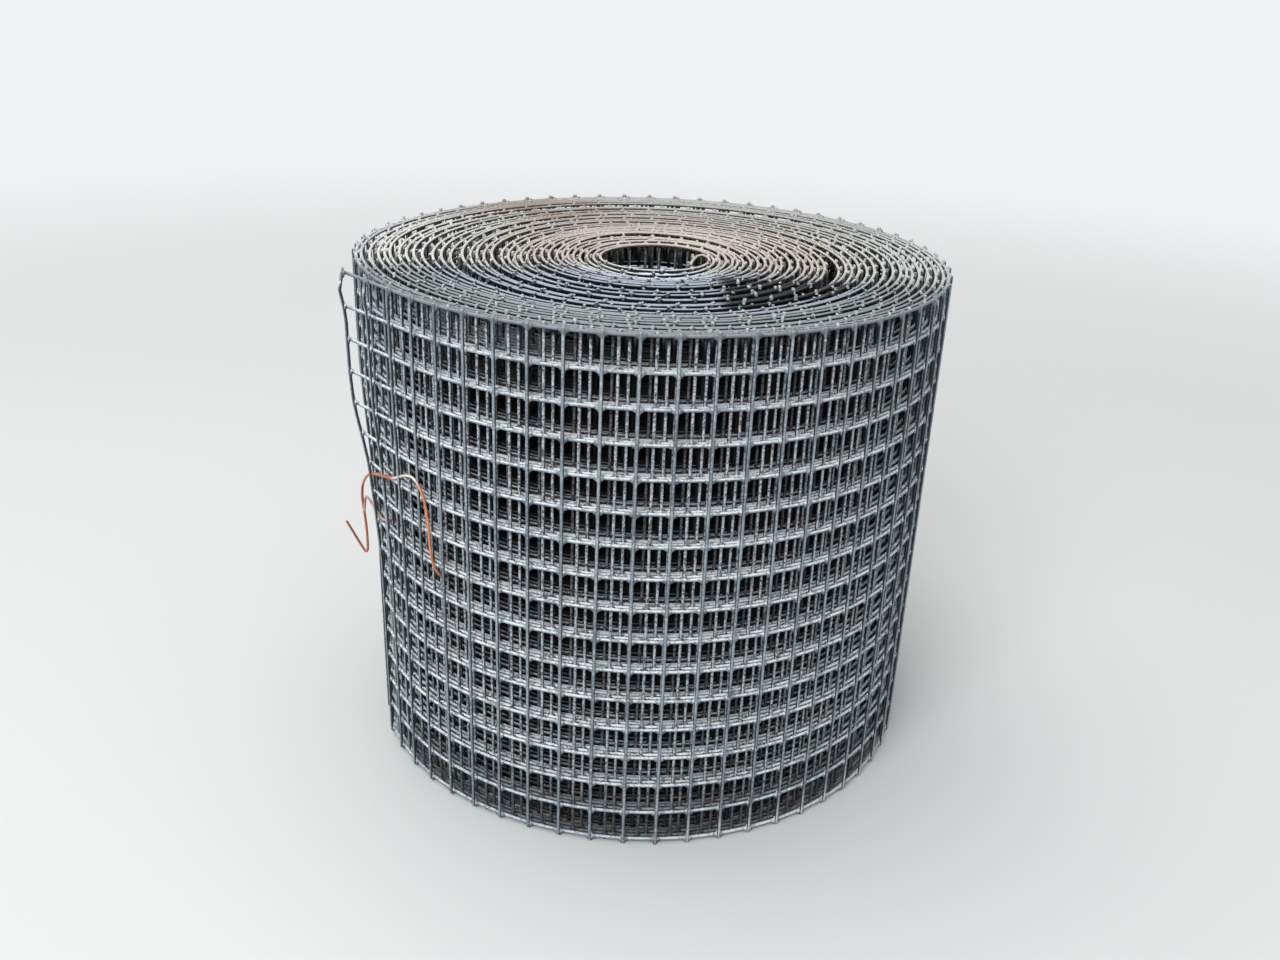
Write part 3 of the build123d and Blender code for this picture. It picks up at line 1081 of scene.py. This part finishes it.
# degrees round the roll from the front to the left, mm further off the face than lying close, cells up
TIE_RUN = (
    (38.9, -2.6, -1.52), (39.3, -0.4, -1.44), (40.8, 0.2, -1.24), (41.6, 0.3, -0.75), (41.9, 0.3, -0.1),
    (42.2, 0.3, 0.5), (43.2, 0.3, 1.05), (45.6, 0.3, 1.45), (49.0, 0.3, 1.32), (53.2, 0.5, 0.93),
    (58.9, 2.2, 0.76), (64.8, 2.3, 0.38), (71.5, 2.3, -0.3), (75.2, 3.0, -0.8), (75.8, 3.4, -1.3),
    (75.2, 2.6, -1.95), (74.6, 2.2, -2.6), (74.0, 2.5, -3.3), (75.1, 6.0, -2.8), (74.7, 10.4, -2.0),
)
TIE_LEG = (
    (75.5, 2.9, -1.80), (75.0, 2.4, -1.42), (74.0, 2.0, -1.10), (71.8, 1.4, -0.96), (69.5, 0.8, -0.95),
    (66.0, 0.4, -0.92), (62.3, 0.3, -0.90), (59.6, 0.4, -0.87), (57.5, 0.3, -0.74), (56.5, -0.6, -0.58),
)
TIE_STRAND = ((63.5, 1.9, 0.42), (60.0, 1.8, 0.70), (57.0, 1.3, 0.84), (55.0, 0.6, 0.90), (54.0, -0.8, 0.88))

COPPER = ((0.50, 0.15, 0.07), (0.80, 0.29, 0.14))
BLEACHED_COPPER = ((0.55, 0.33, 0.25), (0.80, 0.66, 0.56))
TARNISH = (0.23, 0.080, 0.052)
DARK_TARNISH = (0.13, 0.045, 0.028)
CREAM = (0.84, 0.78, 0.68)
COPPER_SPECKS = (0.62, 0.45, 0.34)
TARNISHES_BELOW = stub + (TIE_MIDDLE - 1.0) * CELL


def beside_roll(degrees, off, cells_up):
    turned = math.radians(degrees)
    reach = outer_radius + TIE_CLOSE + off / 1000
    z = stub + (TIE_MIDDLE + cells_up) * CELL
    return (-reach * math.sin(turned), roll_middle_y - reach * math.cos(turned), z)


def long_run_colour(r, uneven):
    """Copper, tarnished on the loop round the cut edge and at its lower end, and cream on one stretch."""
    off_face = r.maths("SUBTRACT", from_axis(r), outer_radius)
    colour = r.mix(r.ramp(uneven, 0.36, 0.60), *COPPER)
    on_loop = r.product(r.ramp(r.x, -0.1215, -0.1175, 1, 0), r.ramp(off_face, 0.0040, 0.0060, 0.85, 0.1))
    colour = r.mix(on_loop, colour, TARNISH)
    low = r.ramp(r.z, TARNISHES_BELOW - 0.010, TARNISHES_BELOW + 0.006, 0.9, 0)
    colour = r.mix(r.product(low, r.ramp(r.x, -0.110, -0.105)), colour, DARK_TARNISH)
    high = r.ramp(r.z, TARNISHES_BELOW + 0.020, TARNISHES_BELOW + 0.024)
    stretch = r.product(r.ramp(r.x, -0.0985, -0.0955), r.ramp(r.x, -0.0865, -0.0835, 1, 0), high)
    return r.mix(stretch, colour, CREAM)


def make_copper(name, bleached=False):
    r = Recipe(name)
    uneven = r.noise(60, 3)
    if bleached:
        colour = r.mix(r.ramp(uneven, 0.38, 0.62), *BLEACHED_COPPER)
    else:
        colour = long_run_colour(r, uneven)
    colour = r.mix(r.ramp(r.noise(500, 3), 0.6, 0.75, 0, 0.4), colour, COPPER_SPECKS)
    r.bump(r.noise(700, 2), 0.3, 0.0001)
    roughness = r.ramp(r.noise(300, 3), 0.3, 0.7, 0.35, 0.6)
    return r.finish({"Base Color": colour, "Roughness": roughness, "Metallic": 0.35})


def make_tie_wire():
    curve = bpy.data.curves.new("copper_tie_wire", "CURVE")
    curve.dimensions = "3D"
    curve.bevel_depth = TIE_WIRE / 2
    curve.bevel_resolution = 3
    curve.resolution_u = 6
    curve.use_fill_caps = True
    curve.materials.append(make_copper("tie_copper"))
    curve.materials.append(make_copper("bleached_copper", bleached=True))
    for run in (TIE_RUN, TIE_LEG, TIE_STRAND):
        spline = curve.splines.new("NURBS")
        spline.points.add(len(run) - 1)
        for point, values in zip(spline.points, run):
            point.co = (*beside_roll(*values), 1)
        spline.order_u = 3
        spline.use_endpoint_u = True
        spline.material_index = 1 if run is TIE_LEG else 0
    tie = add_object("copper_tie_wire", curve)
    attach(tie, "root")
    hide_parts("tie_wire")
    print(tie.name, "with", len(curve.splines), "wires")


make_tie_wire()
